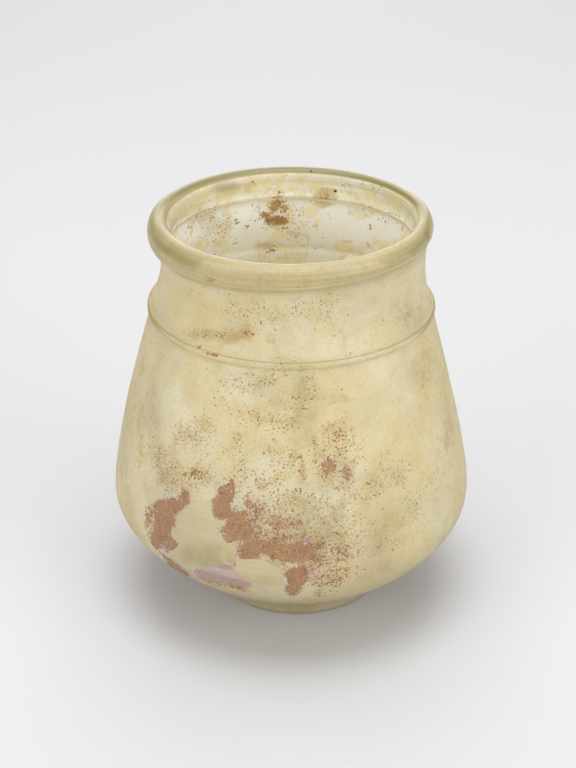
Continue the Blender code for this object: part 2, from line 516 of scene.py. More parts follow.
    def neck(self) -> list[Pulled]:
        """The outer wall, from the collar up to the crease under the rim.

        Returns:
            The points, each with its girth and drop.
        """
        join = self.rolled(self.rim_join)
        foot = (self.neck_foot_radius, self.fold_height + self.fold_thickness / 2)
        waist = (self.neck_radius, self.neck_height)
        spread = (foot[0] - self.neck_ease * math.sin(self.neck_spread),
                  foot[1] + self.neck_ease * math.cos(self.neck_spread))
        half = self.neck_ease / 2
        gather = (join[0] - half * math.sin(self.neck_flare), join[1] - half * math.cos(self.neck_flare))
        lower = self.curve(foot, spread, (waist[0], waist[1] - self.neck_ease), waist)
        upper = self.curve(waist, (waist[0], waist[1] + half), gather, join[:2])
        points = [(radius, height, 0.0, 0.0) for radius, height in lower]
        for index, (radius, height) in enumerate(upper):
            share = index / len(upper)
            pull = 3 * share ** 2 * (1 - share) + share ** 3
            points.append((radius, height, join[2] * pull, join[3] * pull))
        return points

    def rim(self) -> list[Pulled]:
        """The rolled rim, from its crease outside over the top to the lip's lower edge inside.

        Returns:
            The points, each with its girth and drop.
        """
        points = [self.rolled(turn) for turn in np.linspace(self.rim_join, self.rim_turn, 52)]
        last = points[-1]
        end = self.height - self.lip_depth
        wall, proud = self.neck_radius - self.neck_wall, self.lip_proud
        hang = self.curve(last[:2], (last[0], last[1] - proud), (wall - proud, end + proud * 2),
                          (wall - proud, end + proud / 2))
        for index, (radius, height) in enumerate(hang[1:], start=1):
            share = 1 - index / len(hang)
            points.append((radius, height, last[2] * share, last[3] * share))
        for share in range(5):
            turn = math.pi / 2 * share / 4
            points.append((wall - proud * (1 - 0.8 * math.sin(turn)), end + proud / 2 * math.cos(turn),
                           0.0, 0.0))
        return points

    def inside(self, outer: np.ndarray) -> list[Point]:
        """The inner wall, from under the lip down to the middle of the floor.

        Args:
            outer: The outside's points, from the foot's top to the crease under the rim, one row each.

        Returns:
            The points, from the top down.
        """
        along = np.gradient(outer, axis=0)
        along /= np.linalg.norm(along, axis=1)[:, None]
        heights = outer[:, 1]
        down = eased(heights, self.belly_height, self.foot_height)
        up = eased(heights, self.belly_height, self.fold_height)
        gain = np.where(heights < self.belly_height, down * (self.foot_wall - self.belly_wall),
                        up * (self.neck_wall - self.belly_wall))
        wall = self.belly_wall + gain
        inner = np.stack((outer[:, 0] - along[:, 1] * wall, outer[:, 1] + along[:, 0] * wall), axis=1)
        order = np.argsort(inner[:, 1])
        ring = self.foot_radius - self.foot_round - self.ring_width / 2
        lowest = inner[order][0]
        points = []
        for height in np.arange(self.height - self.lip_depth - self.step, lowest[1], -self.step):
            radius = float(np.interp(height, inner[order, 1], inner[order, 0]))
            crease = math.exp(-((height - self.fold_height - self.crease_rise) / self.crease_width) ** 2)
            points.append((radius + self.crease_depth * crease, float(height)))
        last = points[-1]
        middle = (0.0, self.kick + self.base_thickness)
        floor = self.curve(last, (ring, self.ring_thickness), (ring * 0.55, middle[1]), middle)
        return points + floor[1:] + [middle]

    def build(self) -> "Section":
        """Works out every point. Each row is radius, height, girth, drop and skin.

        Returns:
            The section itself, with its rows filled in.
        """
        body, neck = self.body(), self.neck()
        foot_up = np.array(body + [point[:2] for point in neck])
        outside = [(*point, 0.0, 0.0, 1.0) for point in self.base() + body + self.fold()]
        outside += [(*point, 1.0) for point in neck]
        crest = self.rim_radius - 2 * self.rim_half_width
        outside += [(*point, float(point[0] > crest + self.rim_half_width * 0.25)) for point in self.rim()]
        inside = [(*point, 0.0, 0.0, 0.0) for point in self.inside(foot_up)]
        self.rows = outside + inside
        return self

    def edges(self, rows: np.ndarray) -> np.ndarray:
        """How near each point is to the fine lines of painted shade in the creases where glass meets glass and
        under the lip, from 0 to 1.

        Args:
            rows: The section's points, as the rows are.

        Returns:
            A share for each point.
        """
        fold = self.fold()
        join = self.rolled(self.rim_join)
        lip = (self.neck_radius - self.neck_wall - self.lip_proud / 2, self.height - self.lip_depth)
        result = np.zeros(len(rows))
        for (radius, height), width, strength in (
                (fold[round(len(fold) * self.collar_line)], self.line_width, 0.8),
                (fold[0], self.line_width, 0.3),
                (join[:2], self.line_width * 3, 0.5),
                (lip, self.line_width * 4, 0.6)):
            gap = np.hypot(rows[:, 0] - radius, rows[:, 1] - height)
            result = np.maximum(result, strength * np.exp(-(gap / width) ** 2))
        return result


@dataclass(frozen=True)
class Unevenness:
    """How far the hand-made wall is from a true turned form. Each number is an input of the wall's tree."""

    thick_side: float = math.radians(193)
    extra_girth: float = 0.0003
    extra_depth: float = 0.0012
    high_side: float = math.radians(20)
    rim_dip: float = 0.0005
    out_of_round: float = 0.0002
    ripple: float = 0.00022
    ripple_size: float = 0.013
    stretch_marks: float = 0.00007
    mark_spacing: float = 0.0007
    mark_stretch: float = 30.0
    wave_turn: float = math.radians(34)
    second_wave_turn: float = math.radians(-63)

    def lean(self, section: Section, heights: np.ndarray) -> np.ndarray:
        """How far each level stands off the axis along X.

        Args:
            section: The section that the levels belong to.
            heights: The levels.

        Returns:
            The shift of each level.
        """
        levels = (0.0, section.foot_height, section.belly_height,
                  (section.belly_height + section.fold_height) / 2, section.fold_height, section.neck_height,
                  section.height)
        shifts = (0.0016, 0.0016, 0.0, -0.0002, -0.0001, 0.0003, -0.0005)
        result = np.full(len(heights), shifts[-1])
        for low, high, start, end in reversed(list(zip(levels, levels[1:], shifts, shifts[1:]))):
            share = eased(heights, low, high)
            result = np.where(heights <= high, start + (end - start) * share, result)
        return result


@dataclass(frozen=True)
class Mark:
    """One patch on the wall, outlined in the photograph's pixels."""

    layer: Layer
    outline: tuple[Pixel, ...]
    strength: float = 1.0
    soft: float = 3.2
    skin: Skin = Skin.OUTSIDE

    def field(self, pixels: np.ndarray) -> np.ndarray:
        """The patch's strength at each pixel: full inside, nothing past its soft edge.

        Args:
            pixels: One row each, across and down.

        Returns:
            The strength at each.
        """
        corners = np.array(self.outline)
        nearest = np.full(len(pixels), np.inf)
        within = np.zeros(len(pixels), bool)
        for start, end in zip(corners, np.roll(corners, -1, axis=0)):
            run = end - start
            offset = pixels - start
            share = np.clip(offset @ run / (run @ run), 0, 1)
            nearest = np.minimum(nearest, np.linalg.norm(offset - share[:, None] * run, axis=1))
            if run[1] != 0:
                crossing = (start[1] > pixels[:, 1]) != (end[1] > pixels[:, 1])
                within ^= crossing & (pixels[:, 0] < start[0] + run[0] * offset[:, 1] / run[1])
        signed = np.where(within, nearest, -nearest)
        return self.strength * eased(signed, -self.soft, self.soft)


def spot(layer: Layer, skin: Skin, x: float, y: float, half_width: float, half_height: float, strength: float,
         soft: float, tilt: float = 0.0) -> Mark:
    """A patch whose outline is an oval.

    Args:
        layer: What it is made of.
        skin: The face of the wall that it lies on.
        x: Its middle's pixel across.
        y: Its middle's pixel down.
        half_width: Half its width, in pixels.
        half_height: Half its height, in pixels.
        strength: How strong it is, from 0 to 1.
        soft: How far its edge fades, in pixels.
        tilt: How far it is turned, clockwise in the picture, in degrees.

    Returns:
        The patch.
    """
    lean = math.radians(tilt)
    outline = []
    for turn in np.linspace(0, 2 * math.pi, 14, endpoint=False):
        across, down = half_width * math.cos(turn), half_height * math.sin(turn)
        outline.append((x + across * math.cos(lean) - down * math.sin(lean),
                        y + across * math.sin(lean) + down * math.cos(lean)))
    return Mark(layer, tuple(outline), strength, soft, skin)


def band(layer: Layer, half: Pixel, start: float, end: float, width: float, strength: float,
         soft: float) -> Mark:
    """A patch that follows part of the rim's oval, on its inner side.

    Args:
        layer: What the patch is made of.
        half: Half the oval's width and half its height, in pixels.
        start: Where the patch starts, in degrees clockwise in the picture from its right.
        end: Where it ends.
        width: How wide the patch is, in pixels.
        strength: How strong it is, from 0 to 1.
        soft: How far its edge fades, in pixels.

    Returns:
        The patch.
    """
    turns = [math.radians(turn) for turn in np.linspace(start, end, 13)]
    outline = []
    for inset, order in ((0, turns), (width, reversed(turns))):
        outline += [(RIM_MIDDLE[0] + (half[0] - inset) * math.cos(turn),
                     RIM_MIDDLE[1] + (half[1] - inset) * math.sin(turn)) for turn in order]
    return Mark(layer, tuple(outline), strength, soft)


OUTLINED_MARKS = (
    # Left crust.
    Mark(Layer.RUST, (
        (155, 503), (160, 500), (173, 498), (181, 499), (182, 488), (189, 492), (190, 503), (183, 509),
        (176, 514), (175, 521), (177, 526), (171, 529), (169, 535), (175, 539), (180, 545), (173, 551),
        (167, 552), (158, 548), (151, 544), (150, 536), (155, 527), (155, 515),
    )),
    # Left crust's crumbling side.
    Mark(Layer.RUST, (
        (145, 509), (156, 500), (157, 549), (148, 541), (143, 525),
    ), 0.46),
    # Crust along the left edge.
    Mark(Layer.RUST, (
        (156, 548), (161, 551), (190, 575), (186, 578), (170, 567),
    ), 0.8, 1.2),
    # Centre crust.
    Mark(Layer.RUST, (
        (232, 477), (235, 494), (231, 502), (229, 512), (245, 511), (248, 521), (255, 528), (256, 536),
        (244, 540), (231, 542), (223, 539), (221, 531), (226, 523), (217, 519), (213, 513), (212, 498),
        (217, 496), (219, 487), (227, 484),
    )),
    # Centre crust's tail.
    Mark(Layer.RUST, (
        (238, 545), (247, 541), (260, 538), (272, 543), (300, 544), (314, 549), (313, 561), (300, 565),
        (285, 564), (274, 560), (262, 553), (259, 560), (239, 559),
    ), 0.9),
    # Lower crust.
    Mark(Layer.RUST, (
        (283, 574), (291, 568), (306, 564), (310, 576), (303, 586), (300, 594), (290, 596), (284, 590),
        (290, 583),
    ), 0.9),
    # Crumbling band.
    Mark(Layer.RUST, (
        (232, 508), (262, 500), (300, 520), (318, 538), (338, 540), (350, 552), (344, 566), (352, 580),
        (336, 590), (318, 600), (308, 580), (300, 560), (258, 545), (240, 538),
    ), 0.46, 9),
    # Bared glass, upper.
    Mark(Layer.BARE, (
        (194, 500), (209, 501), (213, 515), (217, 521), (229, 518), (219, 528), (223, 541), (236, 548),
        (238, 560), (230, 561), (213, 567), (195, 569), (173, 562), (168, 554), (180, 545), (170, 535),
        (178, 526), (176, 518), (183, 509),
    ), 0.9),
    # Bared glass, lower.
    Mark(Layer.BARE, (
        (238, 560), (259, 560), (279, 567), (283, 579), (283, 588), (256, 588), (243, 579), (232, 573),
    )),
    # Lilac film.
    Mark(Layer.FILM, (
        (195, 570), (213, 567), (229, 561), (233, 572), (243, 579), (252, 587), (241, 588), (219, 582),
        (196, 578),
    )),
    # Shade down the left edge.
    Mark(Layer.OLIVE, (
        (146, 300), (156, 300), (148, 360), (140, 400), (134, 440), (130, 480), (136, 520), (150, 550),
        (140, 550), (122, 510), (116, 475), (120, 430), (130, 380), (142, 330),
    ), 0.35, 5),
    # Shade down the right edge.
    Mark(Layer.OLIVE, (
        (436, 300), (448, 360), (460, 420), (467, 475), (462, 510), (448, 550), (436, 548), (450, 510),
        (455, 470), (448, 430), (436, 370), (428, 310),
    ), 0.25, 5),
)

# Ovals in the photograph's pixels. Each row has the middle's x and y, half the width and half the height, the
# strength, how far the edge fades and, where the oval is turned, by how much.
OUTSIDE_SPOTS = {
    Layer.PITS: (
        (161, 462, 12, 18, 1.5, 6), (186, 480, 32, 14, 1.7, 7), (257, 480, 22, 12, 1.5, 6, 20),
        (268, 450, 8, 5, 1.5, 4), (295, 458, 8, 9, 1.5, 5), (302, 468, 6, 15, 1.8, 4),
        (338, 438, 20, 20, 1.8, 7), (337, 562, 16, 24, 1.6, 7), (226, 336, 32, 7, 1.2, 5, 4),
        (285, 308, 62, 22, 0.55, 14), (322, 298, 20, 10, 0.7, 8), (275, 398, 60, 34, 0.8, 14),
        (200, 450, 58, 34, 0.85, 14), (336, 458, 26, 38, 1.6, 12), (290, 530, 64, 44, 1.9, 16),
        (346, 535, 30, 46, 1.3, 20), (245, 465, 64, 36, 0.8, 20), (384, 500, 44, 50, 0.6, 22),
        (170, 470, 26, 14, 0.6, 10),
    ),
    Layer.RUST: (
        (192, 475, 13, 5, 0.68, 4, 12), (248, 501, 4, 11, 0.62, 3), (329, 467, 8, 9, 0.84, 5),
        (345, 474, 6, 9, 0.56, 4), (337, 444, 15, 15, 0.33, 6), (208, 280, 7, 2.5, 0.5, 3),
        (211, 354, 8, 1.6, 0.6, 1.5, 14), (199, 347, 3, 1.5, 0.55, 1.5), (232, 335, 26, 5, 0.3, 6, 3),
        (246, 332, 5, 4, 0.36, 3), (222, 584, 30, 3, 0.5, 3, 12),
    ),
    Layer.FILM: (
        (263, 510, 7, 4, 0.6, 4, -20), (281, 524, 3, 3, 0.5, 3), (307, 541, 4, 6, 0.6, 4),
        (312, 577, 5, 6, 0.6, 4), (166, 546, 6, 5, 0.6, 4), (223, 531, 4, 5, 0.6, 4),
        (238, 551, 5, 7, 0.55, 4),
    ),
    Layer.TAN: (
        (216, 335, 37, 8, 0.55, 6, 3), (246, 333, 8, 8, 0.8, 5), (272, 341, 6, 9, 0.5, 5, -30),
        (142, 368, 6, 12, 0.45, 6), (141, 432, 6, 36, 0.6, 7), (408, 306, 14, 26, 0.36, 12),
        (426, 366, 9, 36, 0.42, 9), (449, 432, 9, 20, 0.5, 8), (301, 385, 5, 18, 0.45, 4),
        (328, 398, 24, 6, 0.45, 5, 6), (398, 523, 9, 11, 0.42, 6, 20), (215, 278, 16, 4, 0.45, 4, 12),
        (290, 599, 80, 4, 0.25, 5),
    ),
    # The first milk oval is painted light: it whitens a band above the foot that lies in shade.
    Layer.MILK: (
        (290, 596, 74, 5, 0.5, 5), (166, 318, 9, 14, 0.5, 8), (178, 357, 12, 6, 0.7, 5, 20),
        (161, 341, 6, 5, 0.6, 4), (231, 377, 11, 10, 0.45, 6), (246, 424, 8, 8, 0.45, 6),
        (410, 398, 5, 16, 0.6, 5), (158, 470, 6, 7, 0.35, 5),
    ),
    Layer.OLIVE: (
        (272, 399, 20, 14, 0.6, 12, 25), (304, 405, 16, 36, 0.5, 12), (322, 500, 34, 30, 0.5, 14),
        (154, 412, 9, 46, 0.45, 8), (413, 372, 5, 13, 0.5, 5), (447, 395, 7, 45, 0.45, 8),
        (405, 560, 40, 20, 0.12, 14, -30), (379, 541, 6, 14, 0.6, 6), (182, 260, 12, 5, 0.9, 5, 25),
        (162, 224, 9, 30, 0.7, 8, 8), (422, 224, 8, 26, 0.5, 8, -8), (205, 556, 30, 12, 0.9, 8, 5),
        (262, 580, 20, 7, 0.5, 6), (318, 520, 34, 44, 0.7, 16), (376, 505, 44, 42, 0.34, 22),
    ),
    # Painted shade: a dark stroke where the rim's right side is seen edge-on.
    Layer.EDGE: (
        (427.5, 235, 2.2, 5.5, 1.1, 1.8, -12),
    ),
}
INSIDE_SPOTS = {
    Layer.SOIL: (
        (276, 204, 4.5, 8, 1, 2, 20), (276, 221, 13, 4.2, 1, 2), (265, 216, 5, 3, 0.9, 2, 25),
        (284, 208, 5, 4, 0.6, 2, 30), (280, 192, 3.2, 1.8, 0.7, 2), (285, 228, 3.2, 1.5, 0.8, 1.5),
        (236, 222, 3.6, 2, 0.7, 1.5, 30), (247, 227, 2, 3, 0.6, 1.5), (237, 242, 2, 5, 0.55, 1.5),
        (272, 250, 5.5, 2, 0.95, 1.5), (325, 196, 7, 8, 0.62, 3), (253, 185, 2.4, 4, 0.5, 1.5),
        (370, 227, 0.8, 2.2, 0.6, 1), (403, 227, 0.9, 2.4, 0.7, 1),
    ),
    Layer.TAN: (
        (276, 212, 15, 18, 0.6, 5), (287, 234, 24, 9, 0.3, 6), (265, 245, 12, 6, 0.45, 5),
        (218, 243, 6, 5, 0.5, 4), (325, 198, 12, 11, 0.75, 4), (358, 206, 11, 11, 0.35, 6),
        (249, 188, 7, 7, 0.5, 4), (345, 246, 30, 5, 0.35, 5),
    ),
    Layer.MILK: (
        (251, 213, 11, 12, 1, 4), (263, 198, 11, 5, 0.5, 4), (200, 195, 12, 9, 0.2, 5),
        (184, 229, 6, 10, 0.75, 4), (291, 197, 6, 6, 0.5, 4), (310, 199, 6, 6, 0.8, 4),
        (333, 215, 14, 9, 1, 5), (357, 233, 14, 13, 0.85, 6), (387, 226, 19, 14, 0.75, 6),
    ),
    Layer.PITS: (
        (211, 222, 26, 18, 1.2, 6), (275, 214, 26, 20, 0.7, 6), (384, 222, 24, 16, 0.5, 6),
        (356, 188, 30, 8, 0.6, 5),
    ),
    Layer.OLIVE: (
        (209, 220, 20, 12, 0.6, 6), (226, 187, 14, 7, 0.6, 5),
    ),
}

# Bands along the rim. Each row has the layer, half the oval's width and height, where the band starts and ends,
# its width, its strength and how far its edge fades. The edge bands, and the olive band from 195 to 345 degrees
# over the far rim, are painted shade where the rim's glass is seen edge-on.
RIM_MIDDLE = (290, 225.5)
RIM_BANDS = (
    (Layer.OLIVE, (139, 62), 134, 160, 13, 0.85, 6),
    (Layer.OLIVE, (139, 62), 15, 44, 13, 0.5, 6),
    (Layer.EDGE, (141, 58.5), 200, 340, 5, 1.3, 2),
    (Layer.EDGE, (141, 58.5), 150, 205, 5, 0.7, 3),
    (Layer.EDGE, (141, 58.5), -25, 30, 5, 0.7, 3),
    (Layer.OLIVE, (141, 58.5), 195, 345, 11, 0.55, 4),
)


def all_marks() -> list[Mark]:
    """Every patch: the outlined ones, the ovals and the bands along the rim.

    Returns:
        The patches.
    """
    marks = list(OUTLINED_MARKS)
    for skin, table in ((Skin.OUTSIDE, OUTSIDE_SPOTS), (Skin.INSIDE, INSIDE_SPOTS)):
        marks += [spot(layer, skin, *row) for layer, rows in table.items() for row in rows]
    return marks + [band(*row) for row in RIM_BANDS]


def new_material(name: str) -> tuple[bpy.types.Material, bpy.types.Node]:
    """Makes an empty material.

    Args:
        name: The material's name.

    Returns:
        The material and its shader.
    """
    material = bpy.data.materials.new(name)
    material.use_nodes = True
    return material, material.node_tree.nodes["Principled BSDF"]


class Grain(Enum):
    """The skin's noises, each with how wide its lumps are, its detail and its roughness."""

    MIDDLE = (0.0034, 2.0, 0.65)
    SMALL = (0.0013, 1.0, 0.7)
    FINE = (0.0005, 1.0, 0.75)
    DRAWN = (1.0, 0.0, 0.5)


@dataclass(frozen=True)
class Fleck:
    """Flecks of a colour: where its noise starts to show them, where they are full, and how strong they are."""

    color: Color
    grain: Grain
    start: float
    end: float
    share: float = 1.0


class SkinGraph(Graph):
    """The glass's nodes, with what they read from the wall: its layers, its own form and the skin's noises."""

    LINE_STRETCH = 26.0
    LINE_SPACING = 0.00055

    def __init__(self, tree: bpy.types.NodeTree) -> None:
        """Adds the nodes that read the wall.

        Args:
            tree: The material's nodes.
        """
        super().__init__(tree)
        self.place = self.node("ShaderNodeTexCoord").outputs["Object"]
        self.amount = {layer: self.carried(layer.value) for layer in Layer}
        self.skin, self.rim, self.thick = self.carried("skin"), self.carried("rim"), self.carried("thick")
        self.inside = self.rest(self.skin)
        parts = self.parts(self.place)
        across, along = (self.product(part, self.LINE_STRETCH) for part in parts[:2])
        lines = self.vector(across, along, self.math("DIVIDE", self.carried("arc"), self.LINE_SPACING))
        self.grain = {grain: self.cloud(lines if grain is Grain.DRAWN else self.place, *grain.value)
                      for grain in Grain}

    def ragged(self, amount: Value, swings: Swings, turn: int = 1) -> Socket:
        """A layer's strength, moved up and down by noises.

        Args:
            amount: How strong the layer is.
            swings: The noises, and how far each moves the strength.
            turn: 1, or -1 for a layer whose crumbs lie between those of the others.

        Returns:
            The strength with the noises in it.
        """
        return self.total(amount, *(self.swing(self.grain[grain], width * turn) for grain, width in swings))

    def flecked(self, color: Value, fleck: Fleck, *shares: Value) -> Socket:
        """A colour with flecks of another over it, whose strength any shares weaken further."""
        there = self.step(self.grain[fleck.grain], fleck.start, fleck.end)
        return self.blend(self.product(there, *shares, fleck.share), color, fleck.color)


@dataclass(frozen=True)
class GlassFinish:
    """Pale straw glass under a thin weathered skin: clouded, pitted and flaking, with soil in its hollows.

    A cover says how far a coat hides what is under it.
    """

    straw: Color = tint(247, 236, 204)
    cream: Color = tint(252, 247, 230)
    grey_green: Fleck = Fleck(tint(222, 212, 172), Grain.MIDDLE, 0.5, 0.75, 0.5)
    speckle: Fleck = Fleck(tint(196, 178, 132), Grain.FINE, 0.5, 0.68)
    speckle_shares: Reach = (0.32, 0.92)
    speckle_inside: float = 0.4
    thick_glass: Color = tint(218, 205, 168)
    dusky_lines: Fleck = Fleck(tint(184, 172, 128), Grain.DRAWN, 0.42, 0.6, 0.45)
    dusky_grain: Fleck = Fleck(tint(184, 172, 128), Grain.SMALL, 0.48, 0.72, 0.5)
    # Green in the glass, and also painted shade where the olive layer stands for shade.
    green_glass: Color = tint(166, 156, 106)
    green_outside_rim: float = 0.6
    # Painted shade: the colour and cover of the fine dark lines in creases and on edge-on glass.
    edge_glass: Color = tint(146, 138, 94)
    edge_cover: float = 0.85
    scale_white: Color = tint(255, 254, 250)
    scale_yellow: Fleck = Fleck(tint(252, 241, 204), Grain.MIDDLE, 0.44, 0.56)
    rind: Fleck = Fleck(tint(186, 154, 100), Grain.SMALL, 0.42, 0.58, 0.6)
    rind_width: Reach = (0.004, 0.016)
    white: Color = tint(255, 254, 251)
    milk_outside: float = 0.45
    ochre: Color = tint(206, 177, 112)
    tan_cover: float = 0.6
    tan_wash: float = 0.2
    bared: Color = tint(218, 208, 172)
    bared_lines: Fleck = Fleck(tint(204, 188, 142), Grain.DRAWN, 0.4, 0.62, 0.4)
    bared_cover: float = 0.9
    lilac: Color = tint(156, 121, 117)
    pearl: Fleck = Fleck(tint(184, 164, 170), Grain.DRAWN, 0.4, 0.62)
    film_crumbs: Fleck = Fleck(tint(154, 114, 88), Grain.FINE, 0.5, 0.7, 0.5)
    film_cover: float = 0.85
    crust: Color = tint(162, 122, 84)
    crust_mauve: Fleck = Fleck(tint(154, 114, 88), Grain.MIDDLE, 0.42, 0.58)
    crust_dark: Fleck = Fleck(tint(128, 86, 54), Grain.FINE, 0.45, 0.75, 0.7)
    crust_cover: float = 0.92
    thin_crust: Color = tint(206, 166, 116)
    thin_crust_cover: float = 0.5
    most_pitted: float = 1.6
    pit_stain: float = 0.25
    soil: Color = tint(178, 142, 88)
    pit: Color = tint(118, 82, 42)
    red_pit: Color = tint(110, 70, 36)
    pit_cover: float = 0.85
    pit_spacing: float = 0.0006
    pit_sizes: Reach = (0.14, 0.40)
    crumb_swings: Swings = ((Grain.FINE, 1.5), (Grain.SMALL, 0.9), (Grain.MIDDLE, 1.1))
    stain_swings: Swings = ((Grain.MIDDLE, 1.5), (Grain.SMALL, 0.8))
    bare_swings: Swings = ((Grain.SMALL, 0.8),)
    thin_swings: Swings = ((Grain.MIDDLE, 1.0),)
    see_through: float = 0.75
    thick_see_through: float = 0.55
    covered_share: float = 0.3
    inside_cloud: float = 0.85
    rim_cloud: float = 0.4
    bare_cloud: float = 0.35
    index: float = 1.5
    gloss: float = 0.3
    skin_roughness: Reach = (0.4, 0.6)
    rim_roughness: float = 0.38
    bare_roughness: float = 0.52
    crust_roughness: float = 0.8
    relief_strength: float = 0.5
    relief_depth: float = 0.0001
    bare_relief: float = 0.12
    depth_tint: Color = (0.92, 0.89, 0.54, 1.0)
    depth_density: float = 230.0

    def build(self) -> bpy.types.Material:
        """Makes the glass material from the wall's layers.

        Returns:
            The material.
        """
        material, shader = new_material("buried_glass")
        graph = SkinGraph(material.node_tree)
        coats = self.coats(graph)
        depth = graph.node("ShaderNodeVolumeAbsorption", {}, {
            "Color": self.depth_tint, "Density": self.depth_density})
        graph.feed(material.node_tree.nodes["Material Output"], {"Volume": depth.outputs[0]})
        graph.feed(shader, {
            "Base Color": self.color(graph, coats), "Roughness": self.roughness(graph, coats),
            "Transmission Weight": self.clearness(graph, coats), "Normal": self.relief(graph, coats),
            "IOR": self.index, "Specular IOR Level": self.gloss,
        })
        return material

    def coats(self, graph: SkinGraph) -> dict[str, Socket]:
        """How far each coat covers the glass.

        Args:
            graph: The material's nodes.

        Returns:
            A share from 0 to 1 for each coat.
        """
        amount = graph.amount
        bare = graph.step(graph.ragged(amount[Layer.BARE], self.bare_swings), 0.42, 0.54)
        kept = graph.rest(bare)
        pitted = graph.larger(amount[Layer.PITS], graph.step(amount[Layer.RUST], 0.0, 0.4))
        milk = self.stain(graph, amount[Layer.MILK])
        flaked = graph.step(milk, 0.35, 0.6)
        return {
            "bare": bare,
            "kept": kept,
            "crust": graph.product(self.crumbled(graph, amount[Layer.RUST]), kept),
            "pits": self.pits(graph, graph.product(pitted, kept)),
            "film": self.crumbled(graph, amount[Layer.FILM], -1),
            "soil": self.crumbled(graph, amount[Layer.SOIL]),
            "milk": graph.between(graph.skin, flaked, graph.product(milk, self.milk_outside)),
            "scale": graph.product(flaked, graph.inside),
            "tan": self.stain(graph, amount[Layer.TAN], -1),
        }

    def crumbled(self, graph: SkinGraph, amount: Value, turn: int = 1) -> Socket:
        """Where a flaking layer covers the glass: whole where it is strong, and in crumbs where it is weak."""
        ragged = graph.ragged(amount, self.crumb_swings, turn)
        return graph.product(graph.step(ragged, 0.42, 0.58), graph.step(amount, 0.02, 0.2))

    def stain(self, graph: SkinGraph, amount: Value, turn: int = 1) -> Socket:
        """A soft stain with a ragged edge."""
        ragged = graph.ragged(amount, self.stain_swings, turn)
        return graph.product(graph.step(ragged, 0.25, 0.7), graph.step(amount, 0.0, 0.12))

    def pits(self, graph: SkinGraph, amount: Value) -> Socket:
        """Small round pits with soil in them, thicker together where the layer is strong.

        Args:
            graph: The material's nodes.
            amount: How strong the layer is.

        Returns:
            Where the pits are, as 0 or 1 with a soft edge.
        """
        cells = graph.node("ShaderNodeTexVoronoi", {}, {
            "Vector": graph.place, "Scale": 1 / self.pit_spacing, "Randomness": 1.0}).outputs
        draws = graph.node("ShaderNodeSeparateColor", {}, {0: cells["Color"]}).outputs
        there = graph.step(graph.math("SUBTRACT", amount, draws[0]), 0.0, 0.04)
        size = graph.ramp(graph.product(draws[1], draws[1]), *self.pit_sizes)
        edge = graph.total(size, graph.swing(graph.grain[Grain.FINE], 0.5),
                           graph.product(cells["Distance"], -1.0))
        return graph.product(graph.step(edge, -0.04, 0.06), there)

    def color(self, graph: SkinGraph, coats: dict[str, Socket]) -> Socket:
        """The wall's colour, laid on coat by coat.

        Args:
            graph: The material's nodes.
            coats: How far each coat covers the glass.

        Returns:
            The colour.
        """
        amount = graph.amount
        color = graph.blend(amount[Layer.MOTTLE], self.straw, self.cream)
        color = graph.blend(graph.skin, self.scale(graph), color)
        color = graph.flecked(color, self.grey_green, graph.skin)
        thick = graph.flecked(graph.flecked(self.thick_glass, self.dusky_lines), self.dusky_grain)
        color = graph.blend(graph.thick, color, thick)
        color = graph.blend(coats["milk"], color, self.white)
        tan = graph.total(graph.product(coats["tan"], self.tan_cover),
                          graph.product(amount[Layer.TAN], self.tan_wash))
        color = graph.blend(tan, color, self.ochre)
        bared = graph.flecked(self.bared, self.bared_lines)
        color = graph.blend(graph.product(coats["bare"], self.bared_cover), color, bared)
        # The olive layer is partly painted shade, down the cup's sides and over the far rim.
        green = graph.product(amount[Layer.OLIVE], graph.step(graph.grain[Grain.MIDDLE], 0.15, 0.65))
        green = graph.between(graph.rim, graph.product(green, self.green_outside_rim), amount[Layer.OLIVE])
        color = graph.blend(green, color, self.green_glass)
        speckled = graph.product(coats["kept"], graph.ramp(amount[Layer.PITS], *self.speckle_shares),
                                 graph.ramp(graph.skin, self.speckle_inside, 1.0))
        color = graph.flecked(color, self.speckle, speckled)
        color = graph.blend(self.thin_crusts(graph, coats), color, self.thin_crust)
        crust = graph.flecked(graph.flecked(self.crust, self.crust_mauve), self.crust_dark)
        color = graph.blend(graph.product(coats["crust"], self.crust_cover), color, crust)
        film = graph.flecked(graph.flecked(self.lilac, self.pearl), self.film_crumbs)
        color = graph.blend(graph.product(coats["film"], self.film_cover), color, film)
        # Painted shade: fine dark lines in the creases and on edge-on glass.
        color = graph.blend(graph.product(amount[Layer.EDGE], self.edge_cover), color, self.edge_glass)
        color = graph.blend(coats["soil"], color, self.soil)
        pit = graph.blend(graph.step(amount[Layer.RUST], 0.3, 0.55), self.pit, self.red_pit)
        return graph.blend(graph.product(coats["pits"], self.pit_cover), color, pit)

    def scale(self, graph: SkinGraph) -> Socket:
        """The flaking scale inside: white and yellow patches with brown lines between them.

        Args:
            graph: The material's nodes.

        Returns:
            The scale's colour.
        """
        apart = graph.math("ABSOLUTE", graph.math("SUBTRACT", graph.grain[Grain.MIDDLE], 0.5))
        line = graph.step(apart, *self.rind_width, 1.0, 0.0)
        return graph.flecked(graph.flecked(self.scale_white, self.scale_yellow), self.rind, line)

    def thin_crusts(self, graph: SkinGraph, coats: dict[str, Socket]) -> Socket:
        """The thin brown stain round the crusts and under clusters of pits.

        Args:
            graph: The material's nodes.
            coats: How far each coat covers the glass.

        Returns:
            How far it covers the glass.
        """
        pitted = graph.math("MINIMUM", graph.amount[Layer.PITS], self.most_pitted)
        pitted = graph.product(pitted, self.pit_stain)
        stained = graph.larger(graph.amount[Layer.RUST], pitted)
        ragged = graph.step(graph.ragged(stained, self.thin_swings), 0.2, 0.7)
        return graph.product(ragged, graph.step(stained, 0.0, 0.3), coats["kept"], self.thin_crust_cover)

